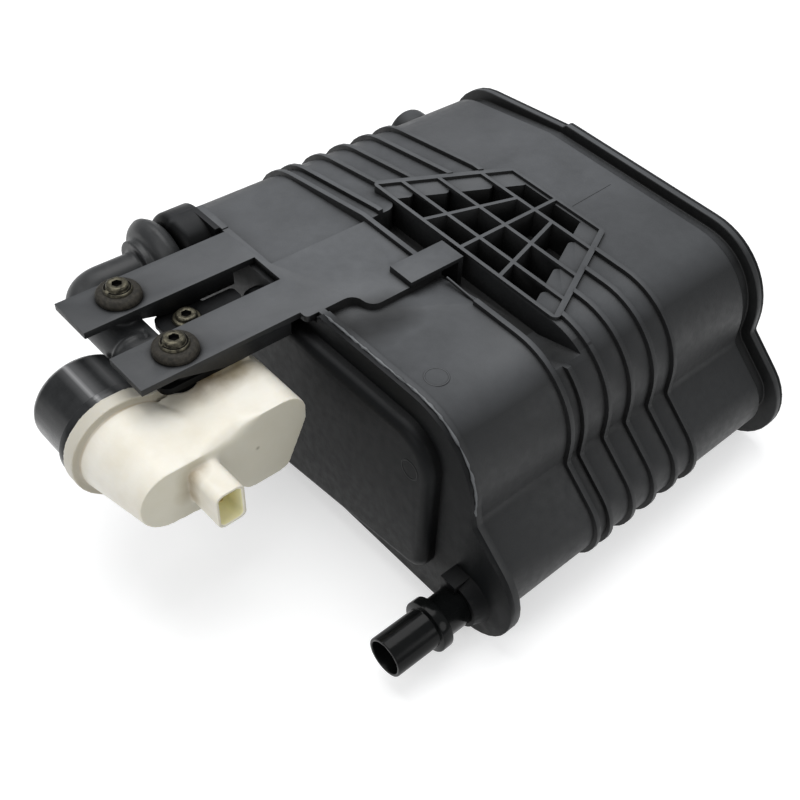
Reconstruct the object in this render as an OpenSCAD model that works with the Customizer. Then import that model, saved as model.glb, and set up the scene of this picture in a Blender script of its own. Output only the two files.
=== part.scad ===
// Charcoal canister: a welded nylon box for fuel vapour, with its vent valve hung under two arms.
// X runs along the box from the valve to the rear lid, Y across it, Z up. All sizes are in millimetres.

/* [Shell] */
// Length of the moulded shell between its two weld faces
shell_l = 183; // [165:1:215]
// Width of the shell between its two side walls
shell_w = 206; // [196:1:226]
// Height of the top deck above the ground
deck_z = 104; // [98:1:116]
// Thickness of the shell's walls
wall = 3; // [2.4:0.1:3.6]
// Radius of the long edge between the deck and the near side
near_r = 35; // [30:1:38]
// Radius of the upper long edge on the far side
far_top_r = 28; // [22:1:32]
// Radius of the lower long edge on the far side
far_bottom_r = 30; // [24:1:34]
// How far the far part of the deck falls away at its outer edge
far_drop = 8; // [5:0.5:10]
// Y of the ridge between the flat deck and the part that falls away
ridge_y = 28; // [20:1:34]
// Height of the small step along that ridge
ridge_step = 2; // [1:0.25:3]

/* [Lobe] */
// Radius of the rounded lobe along the near side's foot
lobe_r = 18; // [15:0.5:21]
// How far the lobe's centre lies outside the near wall
lobe_out = 5.5; // [3:0.5:9]
// Height of the lobe's centre
lobe_z = 31; // [27:0.5:36]
// Slope of the lobe's upper face, below the horizontal
lobe_slope = 40; // [32:1:44]
// Radius in the corner where that face leaves the near wall
notch_r = 5; // [4:0.5:8]

/* [Weld flanges] */
// Thickness of each half of a weld flange
flange_t = 3; // [2:0.25:4]
// How far a weld flange stands out from the shell
flange_out = 2.5; // [1.5:0.25:3.5]
// Radius of the lobe on a weld flange, before it stands out
flange_lobe_r = 24.5; // [22:0.5:26]
// How far that lobe's centre lies outside the near wall
flange_lobe_out = 2; // [1:0.5:4]

/* [Ribs] */
// Height of the six ribs that run round the shell
rib_h = 2.2; // [1.2:0.1:3]
// Width of each rib
rib_t = 2.4; // [1.6:0.1:3.5]
// Distance of each rib from the end cap's weld face
rib_x = [53, 61, 76, 90.5, 105.5, 119];

/* [Arms] */
// Length of the two arms beyond the weld face
arm_l = 76; // [70:1:90]
// Width of each arm
arm_w = 21; // [18:0.5:24]
// Thickness of the deck's plate and of the arms
arm_t = 3; // [2.5:0.1:4]
// Y of the near arm's middle line
near_arm_y = 5.5; // [3:0.5:8]
// Y of the far arm's middle line
far_arm_y = 44; // [40:0.5:48]
// Depth of the stiffening walls, from the top of the arms
arm_depth = 9; // [7:0.5:9.5]
// Thickness of those walls
arm_rib_t = 2.4; // [1.8:0.1:3]
// Length of the bare tip where those walls have run out
arm_bare = 15; // [12:1:18]
// Length over which those walls reach their depth
arm_ramp = 20; // [16:1:24]
// Distance of the two grommet screws from the arms' tips
grommet_in = 21; // [18:1:26]

/* [Rail pocket] */
// Distance of the lattice's front wall from the weld face
pad_x = 71; // [66:1:76]
// Length of the lattice along the shell
pad_l = 62; // [54:1:66]
// Width of the lattice at its front wall
pad_front_w = 119; // [110:1:124]
// Width of the lattice at its back wall
pad_back_w = 60; // [50:1:70]
// Y of the lattice's middle line
pad_y = -13.5; // [-18:0.5:-10]
// Height of the lattice above the deck
pad_h = 1.6; // [1:0.2:3]
// Thickness of the lattice's walls
pad_t = 1.8; // [1.4:0.1:2.4]
// Depth of the pocket below the deck
pocket_d = 12; // [9:0.5:15]
// Width of the ledges left at the two slanting ends of the pocket
ledge_w = 14; // [9:0.5:16]
// Length of the trough in front of the lattice
trough_l = 15; // [12:0.5:17]
// Width of the snap tongue
tongue_w = 13.5; // [11:0.5:16]
// Length of the snap tongue
tongue_l = 29; // [24:0.5:32]

/* [End cap] */
// Thickness of the end cap's plate and of the rear lid
cap_t = 2.5; // [2:0.25:3.5]
// How far the raised panel stands out of the end cap
panel_out = 7; // [5:0.5:10]
// Y of the raised panel's near edge
panel_near_y = -87; // [-90:1:-82]
// Y of the raised panel's far edge
panel_far_y = 34; // [24:1:40]
// Corner radius of the raised panel
panel_r = 10; // [6:0.5:12]
// Radius of the panel's upper near corner
panel_near_r = 20; // [14:1:24]

/* [Purge spigot] */
// Outside diameter of the spigot
spigot_d = 18; // [15:0.5:20]
// Bore of the spigot
spigot_bore = 15; // [12:0.5:15.5]
// Reach of the spigot beyond the weld face
spigot_l = 47; // [42:1:56]
// Diameter of the spigot's stop collar
collar_d = 23.5; // [21:0.5:26]
// Distance of the collar's front from the spigot's tip
collar_in = 21; // [18:0.5:24]
// Height of the spigot's axis
spigot_z = 19.5; // [18.5:0.5:24]
// Wall of the boss round the spigot's foot
spigot_boss_t = 1.8; // [1.5:0.1:3]

/* [Vent elbow] */
// Outside diameter of the vent elbow
hose_d = 17; // [16:0.5:18]
// Wall of the vent elbow
hose_wall = 2; // [1.5:0.25:2.5]
// Diameter of the elbow's cuff
cuff_d = 26; // [23:0.5:28]
// Diameter of the rounded bulb between the port and the cuff
bulb_d = 39; // [36:0.5:41]
// Y of the elbow's run along the arms
hose_y = 73.5; // [72:0.5:76]
// Height of the elbow's axis, from the top of the deck
hose_z = -18; // [-20:0.5:-17]
// Radius of the elbow's bend, on its axis
hose_bend_r = 12; // [11:0.5:14]
// Distance of the elbow's run to the filter cup from the grommet screws, along X
hose_off = 4.5; // [3.5:0.5:6]
// Diameter of the round housing of the hose port on the end cap
port_d = 37; // [33:0.5:38]
// Reach of the hose port beyond the weld face
port_l = 16; // [14:0.5:20]

/* [Vent valve] */
// Distance of the axis of filter cup and valve from the grommet screws, along X
valve_off = 25.5; // [24:0.5:29]
// Height of that axis, from the top of the deck
valve_z = -34; // [-37:0.5:-32]
// Outside diameter of the filter cup
cup_d = 41.5; // [38:0.5:43]
// Depth of the filter cup
cup_l = 29; // [25:0.5:32]
// Wall of the filter cup
cup_wall = 2; // [1.5:0.25:2.5]
// Y of the joint between cup and valve
joint_y = 10; // [8:0.5:12]
// Diameter of the valve's flange at that joint
valve_flange_d = 47; // [45:0.5:49]
// Y of the valve's front face
face_y = -30; // [-34:0.5:-28]
// Bore for the solenoid in the valve's body
valve_bore = 27; // [24:0.5:28]
// Depth of that bore from the joint
valve_bore_l = 22; // [19:0.5:23]
// Diameter of the solenoid's plunger
plunger_d = 9; // [8:0.5:11]

/* [Plug socket] */
// Width of the plug socket
socket_w = 12.5; // [12:0.5:15]
// Height of the plug socket
socket_h = 18.5; // [17:0.5:20]
// Reach of the plug socket from the valve's front face
socket_l = 17; // [15:0.5:20]
// Wall of the plug socket
socket_wall = 1.5; // [1.2:0.1:2]
// Corner radius of the plug socket
socket_r = 3.5; // [3:0.25:5]

/* [Fasteners] */
// Diameter of a screw's washer face
screw_flange_d = 11.5; // [10:0.5:12]
// Diameter of a screw's head
screw_head_d = 8.4; // [7:0.2:9]
// Diameter of a screw's shank
screw_d = 4.6; // [4:0.2:5]
// Diameter of a grommet where it lies on the arm
grommet_d = 17.6; // [16.6:0.2:19]
// Height of a grommet above the arm
grommet_h = 3.8; // [3:0.2:5]

/* [Inside] */
// Y of the partition between the two carbon chambers
partition_y = 34; // [30:1:40]
// Thickness of each fleece pad
fleece_t = 3; // [2:0.25:4]
// Thickness of the pressure plates
plate_t = 4; // [3:0.25:5]
// Free length of the pressure springs as fitted
spring_l = 24; // [20:1:28]
// Outside diameter of the pressure springs
spring_d = 32; // [26:1:36]
// Wire diameter of the pressure springs
spring_wire = 2.4; // [1.8:0.2:3]
// Room left between pieces that are pushed together
fit = 0.3; // [0.2:0.05:0.4]

/* [Hidden] */
$fn = 64;
near_y = -shell_w / 2;
far_y = shell_w / 2;
lobe = [near_y - lobe_out, lobe_z, lobe_r];
flange_lobe = [near_y - flange_lobe_out, flange_lobe_r + flange_out, flange_lobe_r];
shell_end = shell_l + cap_t;
lid_out = 5;
lid_x = shell_end + lid_out;
grommet_x = grommet_in - arm_l;
valve_x = grommet_x - valve_off;
hose_x = grommet_x - hose_off;
hose_axis_z = deck_z + hose_z;
valve_axis_z = deck_z + valve_z;
cup_back_y = joint_y + cup_l;
cup_left_x = valve_x - valve_flange_d / 2;
flange_near_y = flange_lobe[0] - flange_lobe[2] - flange_out;
side_boss_l = 10;
mid_x = (lid_x + cup_left_x) / 2;
mid_y = (far_y + side_boss_l + flange_near_y) / 2;

// Points along an arc in the plane of the outline, from angle a to angle b
function arc(centre, r, a, b, steps = 8) =
    [for (i = [0:steps]) let (t = a + (b - a) * i / steps) centre + r * [cos(t), sin(t)]];

// Direction of the outward normal on the straight bottom between the lobe and the far lower edge
function bottom_normal(from, to) =
    let (gap = [to[0] - from[0], to[1] - from[1]])
    atan2(gap[1], gap[0]) + 270 + asin((from[2] - to[2]) / norm(gap));

// Outline of the box across its length, set out by d below and by d - less above,
// with a step of this height along the deck's ridge
function outline(d, foot, drop, less = 0, step = ridge_step) =
    let (
        low = [far_y - far_bottom_r, far_bottom_r + flange_out, far_bottom_r],
        top = [far_y - far_top_r, deck_z - drop - far_top_r],
        lean = atan((drop - step) / (top[0] - ridge_y)),
        touch = [foot[0], foot[1]] + foot[2] * [cos(90 + lobe_slope), sin(90 + lobe_slope)],
        corner_y = near_y - notch_r * (1 - sin(lobe_slope)),
        corner_z = touch[1] + (corner_y - touch[0]) * tan(lobe_slope) + notch_r * cos(lobe_slope),
        turn = bottom_normal(foot, low)
    )
    concat(
        arc([near_y + near_r, deck_z - near_r], near_r + d - less, 90, 180, 14),
        arc([near_y - notch_r, corner_z], notch_r - d, 0, lobe_slope - 90, 4),
        arc([foot[0], foot[1]], foot[2] + d, 90 + lobe_slope, turn, 14),
        arc([low[0], low[1]], far_bottom_r + d, turn, 360),
        arc(top, far_top_r + d - less, 0, 90 - lean),
        step > 0 ? [[ridge_y, deck_z - step + d - less]] : [],
        [[ridge_y - step, deck_z + d - less]]
    );

// Outline of the shell itself, set out by d; from the first rib on, its deck has no step
ridge_end = rib_x[0] - rib_t / 2;
function shell_outline(d) = outline(d, lobe, far_drop);
function ribbed_outline(d) = outline(d, lobe, far_drop, 0, 0);

// Carries the part from its own middle to the frame it is used in
module home() translate([-mid_x, -mid_y, 0]) children();

// A slab along X with an outline given in Y and Z
module slab(x, l, points) translate([x, 0, 0]) rotate([90, 0, 90]) linear_extrude(l) polygon(points);

// A rectangle with rounded corners, from one corner to the other
module soft_rect(a, b, r)
    hull() for (u = [a[0] + r, b[0] - r], v = [a[1] + r, b[1] - r]) translate([u, v]) circle(r, $fn = 32);

// Outline of the end-cap flange: low on the deck, flush between the arms, with a lip beside the far arm
seam_out = 0.9;
lip_h = 0.5;
lip_y = 56;
lip_end_y = 75;
flush_y = -12;
module cap_flange_2d() {
    difference() {
        polygon(outline(flange_out, flange_lobe, far_drop, flange_out - seam_out));
        translate([flush_y, deck_z]) square([lip_y - flush_y, 2 * flange_out]);
    }
    polygon([
        [ridge_y - 2 * ridge_step, deck_z / 2], [lip_end_y, deck_z / 2],
        [lip_end_y + far_drop, deck_z - far_drop], [lip_end_y, deck_z + lip_h],
        [lip_y, deck_z + lip_h], [lip_y, deck_z], [ridge_y - 2 * ridge_step, deck_z]
    ]);
}

// Plan of the rail pocket, grown by m all round; the trough lies in front of the lattice
pad_mid_x = pad_x + pad_l;
pocket_back = 3;
trough_in = 9;
trough_round = 6;
trough_far_y = pad_y + pad_front_w / 2 - ledge_w - trough_round;
function pocket_plan(m) =
    let (
        slant = (pad_front_w - pad_back_w) / 2 / pad_l,
        x0 = pad_x - trough_l - m,
        x1 = pad_mid_x - pocket_back + m,
        half_back = pad_front_w / 2 - ledge_w - slant * (x1 - pad_x) + m,
        half_open = pad_front_w / 2 - ledge_w + m,
        half_trough = pad_front_w / 2 - trough_in + m
    )
    [[x0, pad_y - half_trough], [pad_x + m, pad_y - half_trough],
     [pad_x + m, pad_y - half_open + slant * m],
     [x1, pad_y - half_back], [x1, pad_y + half_back],
     if (m > 0) [pad_x - m, pad_y + half_open + slant * m],
     each arc([pad_x - trough_round, trough_far_y + trough_round], trough_round - m, 0, -90, 6),
     [x0, trough_far_y + m]];

// Ledges at the slanting ends of the pocket, each with its inner corners rounded
lattice_x = [0.2, 0.45, 0.755];
ledge_r = 2.5;
module ledges_2d() {
    lines = concat([0], lattice_x, [1]);
    for (i = [0:3], side = [-1, 0]) offset(r = ledge_r) offset(delta = -ledge_r) difference() {
        translate([pad_x + lines[i] * pad_l + pad_t / 2, pad_y + side * pad_front_w])
            square([(lines[i + 1] - lines[i]) * pad_l - pad_t, pad_front_w]);
        polygon(pocket_plan(0));
    }
}
module opening_2d() difference() {
    union() {
        polygon(pocket_plan(0));
        intersection() {
            polygon(pocket_plan(ledge_r));
            translate([pad_x + pad_t, pad_y - pad_front_w / 2])
                square([pad_l - pocket_back - pad_t, pad_front_w]);
        }
    }
    ledges_2d();
}
ramp_l = 30;
ramp_rise = 7.8;
module pocket(m) {
    low = deck_z - pocket_d - m;
    end_y = pad_y - pad_front_w / 2 + trough_in - m;
    translate([0, 0, low]) linear_extrude(pocket_d + m + 8) polygon(pocket_plan(m));
    slab(pad_x - trough_l - m, trough_l + 2 * m, [
        [end_y + 1, low], [end_y, low], [end_y - ramp_l, low + ramp_rise], [end_y - ramp_l, deck_z + 8],
        [end_y + 1, deck_z + 8]
    ]);
}

// Near edge of the deck's plate, with the wave between its two stretches, closed along the near side
wave_x = 18;
wave_r = 5.2;
plate_edge_y = -9;
valley_w = 34;
valley_d = 4.6;
function plate_edge() = concat(
    [[flange_t, plate_edge_y]],
    arc([wave_x - wave_r, plate_edge_y - wave_r], wave_r, 90, 0, 5),
    arc([wave_x + wave_r, plate_edge_y - wave_r], wave_r, 180, 270, 5),
    [[pad_x - trough_l + 1, plate_edge_y - 2 * wave_r], [pad_x - trough_l + 1, plate_edge_y - valley_w],
     [flange_t, plate_edge_y - valley_w]]
);
module valley_wedge(m)
    slab(flange_t, pad_x - trough_l + 1 - flange_t, [
        [plate_edge_y + m, deck_z + 5], [plate_edge_y + m, deck_z - valley_d - m],
        [plate_edge_y - valley_w, deck_z - m], [plate_edge_y - valley_w, deck_z + 5]
    ]);

// One arm: a plate from the deck with two stiffening walls below it
arm_end_x = -(cap_t + panel_out + 1);
module arm(y) {
    translate([-arm_l, y - arm_w / 2, deck_z - arm_t]) cube([arm_l + flange_t, arm_w, arm_t]);
    for (side = [-1, 1])
        translate([0, y + side * (arm_w - arm_rib_t) / 2 + arm_rib_t / 2, 0]) rotate([90, 0, 0])
            linear_extrude(arm_rib_t) polygon([
                [arm_bare - arm_l, deck_z - arm_t / 2], [arm_bare - arm_l, deck_z - arm_t],
                [arm_bare + arm_ramp - arm_l, deck_z - arm_depth], [arm_end_x, deck_z - arm_depth],
                [arm_end_x, deck_z - arm_t / 2]
            ]);
}

// Rounded tab of the deck's plate beside the near arm, over the weld flange
tab_out = 6;
tab_r = 2;
module near_tab() translate([0, 0, deck_z - arm_t]) linear_extrude(arm_t)
    soft_rect([-tab_out, plate_edge_y], [flange_t + tab_out, near_arm_y], tab_r);

// The lattice of the rail pocket on its flat pad: front, back and slanting end walls with ribs between them
cross_front = 24.5;
cross_back = 11;
end_wall_t = 3;
pad_round = 3;
function pad_plan(a, b) =
    let (
        slant = (pad_front_w - pad_back_w) / 2 / pad_l,
        front = pad_front_w / 2 - slant * a - b,
        back = pad_back_w / 2 + slant * a - b
    )
    [[pad_x + a, pad_y - front], [pad_mid_x - a, pad_y - back],
     [pad_mid_x - a, pad_y + back], [pad_x + a, pad_y + front]];
module pad_2d() offset(r = pad_round) offset(delta = -pad_round) polygon(pad_plan(0, 0));
module lattice_2d() {
    difference() {
        pad_2d();
        polygon(pad_plan(pad_t, end_wall_t));
    }
    intersection() {
        polygon(pad_plan(pad_t / 2, pad_t / 2));
        union() {
            for (f = lattice_x) translate([pad_x + f * pad_l - pad_t / 2, pad_y - pad_front_w / 2])
                square([pad_t, pad_front_w]);
            translate([pad_x, pad_y - pad_t / 2]) square([pad_l, pad_t]);
            for (side = [-1, 1]) {
                run = lattice_x[2] * pad_l;
                turn = atan2(side * (cross_back - cross_front), run);
                translate([pad_x, pad_y + side * cross_front]) rotate(turn) translate([0, -pad_t / 2])
                    square([run / cos(turn), pad_t]);
            }
        }
    }
}
module lattice() {
    translate([0, 0, deck_z - wall / 2]) linear_extrude(wall / 2 + pad_h) lattice_2d();
    translate([0, 0, deck_z - pocket_d - wall / 2]) linear_extrude(pocket_d) intersection() {
        lattice_2d();
        polygon(pocket_plan(wall / 2));
    }
}

// The snap tongue: it stands on the trough's floor, bends over towards the cap and hooks down at its tip
tongue_t = 2;
tongue_lift = 1;
tongue_hook = 2.4;
tongue_gap = 3.6;
tongue_foot = 2.6;
module tongue() {
    root_x = pad_x - tongue_gap;
    z = deck_z + tongue_lift;
    side_y = pad_y - tongue_w / 2;
    translate([root_x - tongue_l, side_y, z]) cube([tongue_l, tongue_w, tongue_t]);
    translate([root_x - tongue_l, side_y, z - tongue_lift]) cube([tongue_hook, tongue_w, tongue_t]);
    translate([root_x - tongue_foot, side_y, deck_z - pocket_d - 1])
        cube([tongue_foot, tongue_w, pocket_d + 1 + tongue_lift + tongue_t / 2]);
}

// Round boss on the far side, near the rear lid
side_boss_x = 151;
side_boss_z = 69;
side_boss_d = 26;
module side_boss()
    translate([side_boss_x, far_y - wall, side_boss_z]) rotate([-90, 0, 0]) rotate_extrude()
        polygon(concat([[0, 0], [side_boss_d / 2, 0]],
            arc([side_boss_d / 2 - 4, wall + side_boss_l - 4], 4, 0, 90, 6), [[0, wall + side_boss_l]]));

ring_l = 6;
partition_t = 2.5;
partition_end = 15;
neck_l = 8;
neck_in = 3;
neck_x = shell_l - flange_t - neck_l;
grommet_hole_d = 12.4;
module canister_shell() color("#3d3e40") home() {
    difference() {
        union() {
            slab(0, ridge_end, shell_outline(0));
            slab(ridge_end, shell_l - ridge_end, ribbed_outline(0));
            rotate([90, 0, 90]) linear_extrude(flange_t) cap_flange_2d();
            slab(shell_l - flange_t, flange_t, outline(flange_out, flange_lobe, far_drop));
            difference() {
                for (x = rib_x) slab(x - rib_t / 2, rib_t, ribbed_outline(rib_h));
                translate([0, 0, deck_z - pocket_d]) linear_extrude(2 * pocket_d) pad_2d();
            }
            translate([0, 0, deck_z - pocket_d]) linear_extrude(pocket_d) pad_2d();
            for (y = [near_arm_y, far_arm_y]) arm(y);
            near_tab();
            side_boss();
        }
        difference() {
            slab(neck_x, neck_l, ribbed_outline(2 * neck_in));
            slab(neck_x - 1, neck_l + 2, ribbed_outline(-neck_in));
        }
        slab(neck_x - wall - 1, shell_l, shell_outline(-wall - neck_in));
        difference() {
            slab(-1, neck_x - wall + 1, shell_outline(-wall));
            pocket(wall);
            intersection() {
                valley_wedge(wall);
                slab(0, shell_l, shell_outline(0));
            }
            translate([ring_l + fit, partition_y - partition_t / 2, 0])
                cube([shell_l - ring_l - fit - partition_end, partition_t, deck_z]);
        }
        pocket(0);
        translate([0, 0, deck_z - pocket_d]) linear_extrude(2 * pocket_d) opening_2d();
        intersection() {
            valley_wedge(0);
            translate([0, 0, deck_z - pocket_d]) linear_extrude(2 * pocket_d) polygon(plate_edge());
        }
        for (y = [near_arm_y, far_arm_y])
            translate([grommet_x, y, deck_z - 2 * arm_t]) cylinder(d = grommet_hole_d, h = 4 * arm_t);
    }
    lattice();
    tongue();
}

// Outline of the raised panel on the end cap; its foot rises towards the near side
panel_top = deck_z - 9.5;
panel_foot_near = 16;
panel_foot_far = 3;
module panel_2d(m) offset(delta = m) hull() {
    translate([panel_near_y + panel_near_r, panel_top - panel_near_r]) circle(panel_near_r);
    translate([panel_near_y + panel_r, panel_foot_near + panel_r]) circle(panel_r);
    translate([panel_far_y - panel_r, panel_foot_far + panel_r]) circle(panel_r);
    translate([panel_far_y - panel_r, panel_top - panel_r]) circle(panel_r);
}
spigot_y = near_y - 5;
spigot_foot = 9;
port_round = 5;
foot_cone = 8;
clip = [11, 8.5, 9];
stud_y = 62;
stud_z = 92;
stud_r = 6;
stud_l = 12;
port_bore_d = hose_d + 2 * fit;
module end_cap() color("#2a2b2c") home() {
    difference() {
        union() {
            translate([-cap_t, 0, 0]) rotate([90, 0, 90]) linear_extrude(cap_t) cap_flange_2d();
            slab(-cap_t, ring_l + cap_t, shell_outline(-wall - fit));
            translate([-cap_t - panel_out, 0, 0]) rotate([90, 0, 90])
                linear_extrude(panel_out + cap_t) panel_2d(0);
            translate([0, spigot_y, spigot_z]) rotate([0, -90, 0]) {
                cylinder(d = spigot_d + 2 * spigot_boss_t, h = spigot_foot);
                cylinder(d1 = spigot_d + foot_cone + 2, d2 = spigot_d + 2 * spigot_boss_t, h = foot_cone);
            }
            translate([-clip[0], spigot_y, spigot_z + 4]) cube(clip);
            translate([0, stud_y, stud_z]) rotate([0, -90, 0]) cylinder(r = stud_r, h = stud_l);
            translate([0, hose_y, hose_axis_z]) rotate([0, -90, 0]) rotate_extrude()
                polygon(concat([[0, 0], [port_d / 2, 0]],
                    arc([port_d / 2 - port_round, port_l - port_round], port_round, 0, 90, 8),
                    [[0, port_l]]));
        }
        translate([-2 * cap_t, near_arm_y - arm_w / 2 - 6, deck_z - arm_t - fit])
            cube([4 * cap_t, far_arm_y - near_arm_y + arm_w + 9, 2 * arm_t]);
        slab(0, ring_l + 1, shell_outline(-wall - fit - cap_t));
        valley_wedge(wall + fit);
        translate([-panel_out, 0, 0]) rotate([90, 0, 90]) linear_extrude(panel_out + 1) panel_2d(-cap_t);
        translate([1, spigot_y, spigot_z]) rotate([0, -90, 0]) cylinder(d = spigot_d, h = 2 * spigot_foot);
        translate([1, hose_y, hose_axis_z]) rotate([0, -90, 0])
            cylinder(d = hose_d - 2 * hose_wall, h = port_l + 2);
        translate([-port_l / 2, hose_y, hose_axis_z]) rotate([0, -90, 0])
            cylinder(d = port_bore_d, h = port_l);
    }
}

collar_t = 5;
module at_spigot() translate([0, spigot_y, spigot_z]) rotate([0, -90, 0]) children();
module purge_spigot() color("#161617") home() at_spigot() difference() {
    union() {
        cylinder(d = spigot_d, h = spigot_l);
        translate([0, 0, spigot_l - collar_in - collar_t]) cylinder(d = collar_d, h = collar_t);
    }
    translate([0, 0, -1]) cylinder(d = spigot_bore, h = spigot_l + 2);
}

lid_in = 9;
module rear_lid() color("#2f3031") home() difference() {
    union() {
        slab(shell_l, cap_t, outline(flange_out, flange_lobe, far_drop));
        slab(shell_l, cap_t + lid_out, shell_outline(-lid_in));
        slab(shell_l - ring_l, ring_l + 1, shell_outline(-wall - neck_in - fit));
    }
    slab(shell_l - ring_l - 1, ring_l + 1, shell_outline(-wall - neck_in - fit - cap_t));
    slab(shell_l - 1, lid_out + 1, shell_outline(-lid_in - cap_t));
}

// Along the box: cap ring, fleece, carbon, fleece, pressure plate, springs, lid
front_x = ring_l;
spring_x = shell_l + lid_out - spring_l;
plate_x = spring_x - plate_t;
rear_x = plate_x - fleece_t;
carbon_x = front_x + fleece_t;

// A slice of one chamber of the shell; side is -1 for the near one and 1 for the far one
module chamber(x, l, side, m) intersection() {
    slab(x, l, shell_outline(-wall - m));
    translate([x - 1, partition_y + side * (partition_t / 2 + m + shell_w), deck_z / 2])
        cube([2 * l + 2, 2 * shell_w, 2 * deck_z], center = true);
}
module bed(side) difference() {
    chamber(carbon_x, rear_x - carbon_x, side, fit);
    pocket(wall + fit);
    valley_wedge(wall + fit);
}
module carbon_near() color("#1b1b1b") home() bed(-1);
module carbon_far() color("#1b1b1b") home() bed(1);

module front_pad(side) difference() {
    chamber(front_x, fleece_t, side, fit);
    valley_wedge(wall + fit);
}
module fleece_near_front() color("#d8d5cc") home() front_pad(-1);
module fleece_far_front() color("#d8d5cc") home() front_pad(1);
module fleece_near_rear() color("#d8d5cc") home() chamber(rear_x, fleece_t, -1, fit);
module fleece_far_rear() color("#d8d5cc") home() chamber(rear_x, fleece_t, 1, fit);

// Pressure plate: a flat plate with rows of slots and a centring boss for each spring
slot_w = 5;
slot_pitch = 14;
plate_edge_w = 8;
boss_h = 5;
spring_z = deck_z / 2;
near_spring_in = 41;
far_spring_in = 35;
near_spring_y = near_y + near_spring_in;
middle_spring_y = -6;
far_spring_y = far_y - far_spring_in;
spring_seat_d = spring_d + 8;
module pressure_plate(side, springs) {
    difference() {
        chamber(plate_x, plate_t, side, 3 * fit);
        difference() {
            intersection() {
                chamber(plate_x - 1, plate_t + 2, side, plate_edge_w);
                for (i = [-9:7])
                    translate([plate_x - 1, i * slot_pitch, 0]) cube([plate_t + 2, slot_w, deck_z]);
            }
            for (y = springs) translate([plate_x - 2, y, spring_z]) rotate([0, 90, 0])
                cylinder(d = spring_seat_d, h = plate_t + 4);
        }
    }
    for (y = springs) translate([plate_x + plate_t / 2, y, spring_z]) rotate([0, 90, 0])
        cylinder(d = spring_d - 2 * spring_wire - 4 * fit, h = plate_t / 2 + boss_h);
}
module pressure_plate_near() color("#4a4c4e") home() pressure_plate(-1, [near_spring_y, middle_spring_y]);
module pressure_plate_far() color("#4a4c4e") home() pressure_plate(1, [far_spring_y]);

// A coil spring with ground ends: the section of the wire, spread over the arc that it cuts in one level
module helix(d, wire, l, turns) {
    span = 180 * wire * turns / l;
    function half(t) = wire / 2 * sqrt(max(0, 1 - t * t));
    mean = (d - wire) / 2;
    linear_extrude(l, twist = -360 * turns, slices = round(turns * 18), segments = 1) polygon(concat(
        [for (t = [-1:0.4:1]) (mean + half(t)) * [cos(t * span), sin(t * span)]],
        [for (t = [0.6:-0.4:-0.6]) (mean - half(t)) * [cos(t * span), sin(t * span)]]
    ));
}
spring_turns = 3.5;
module pressure_spring(y)
    translate([spring_x, y, spring_z]) rotate([0, 90, 0])
        helix(spring_d, spring_wire, spring_l, spring_turns);
module spring_near() color("#9a9c9e") home() pressure_spring(near_spring_y);
module spring_middle() color("#9a9c9e") home() pressure_spring(middle_spring_y);
module spring_far() color("#9a9c9e") home() pressure_spring(far_spring_y);

// The rigid elbow from the end cap's port to the filter cup, with a bulb and a cuff beside the port,
// a thin seam ring on its second run, a boss for the far screw and an eye plate
bracket_t = 3;
bracket_gap = 0.5;
bracket_top = deck_z - arm_depth - bracket_gap;
seat_z = deck_z - arm_t - 2;
screw_boss_d = 13;
inlet_front_y = joint_y + 2.5;
inlet_back_y = joint_y + 11;
inlet_depth = 3;
bulb_l = 12;
bulb_round = 7;
cuff_l = 3.5;
seam_y = joint_y + 21;
seam_t = 1.6;
seam_d = hose_d + 1.6;
pilot_d = screw_d + 0.1;
far_screw_in = 5;
eye = [9.3, 17, 2.5];
eye_y = joint_y + 14.5;
eye_window = [4.5, 5];
eye_at = [2, 3];
module elbow_run(d, ends) {
    bend = [hose_x + hose_bend_r, hose_y - hose_bend_r, hose_axis_z];
    translate([bend[0], hose_y, hose_axis_z]) rotate([0, 90, 0])
        cylinder(d = d, h = -port_l / 2 - bend[0] + ends);
    translate(bend) rotate([0, 0, 90]) rotate_extrude(angle = 90) translate([hose_bend_r, 0]) circle(d = d);
    translate([hose_x, bend[1], hose_axis_z]) rotate([90, 0, 0])
        cylinder(d = d, h = bend[1] - inlet_back_y + inlet_depth + ends);
}
module along_inlet(from, to, d)
    translate([hose_x, to, hose_axis_z]) rotate([90, 0, 0]) cylinder(d = d, h = to - from);
module vent_elbow() color("#232425") home() difference() {
    union() {
        elbow_run(hose_d, 0);
        translate([-port_l, hose_y, hose_axis_z]) rotate([0, -90, 0]) {
            rotate_extrude() polygon(concat([[0, 0]],
                arc([bulb_d / 2 - bulb_round, bulb_round], bulb_round, -90, 0, 6),
                arc([bulb_d / 2 - bulb_round, bulb_l - bulb_round], bulb_round, 0, 90, 6), [[0, bulb_l]]));
            translate([0, 0, bulb_l - 1]) cylinder(d = cuff_d, h = cuff_l + 1);
        }
        along_inlet(seam_y - seam_t / 2, seam_y + seam_t / 2, seam_d);
        translate([grommet_x, far_arm_y, hose_axis_z]) cylinder(d = screw_boss_d, h = seat_z - hose_axis_z);
        difference() {
            translate([hose_x, eye_y, bracket_top - eye[2]]) cube(eye);
            translate([hose_x + eye_at[0], eye_y + eye_at[1], bracket_top - 2 * eye[2]])
                cube([eye_window[0], eye_window[1], 3 * eye[2]]);
        }
    }
    elbow_run(hose_d - 2 * hose_wall, 1);
    translate([grommet_x, far_arm_y, seat_z - far_screw_in]) cylinder(d = pilot_d, h = 2 * far_screw_in);
}

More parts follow.
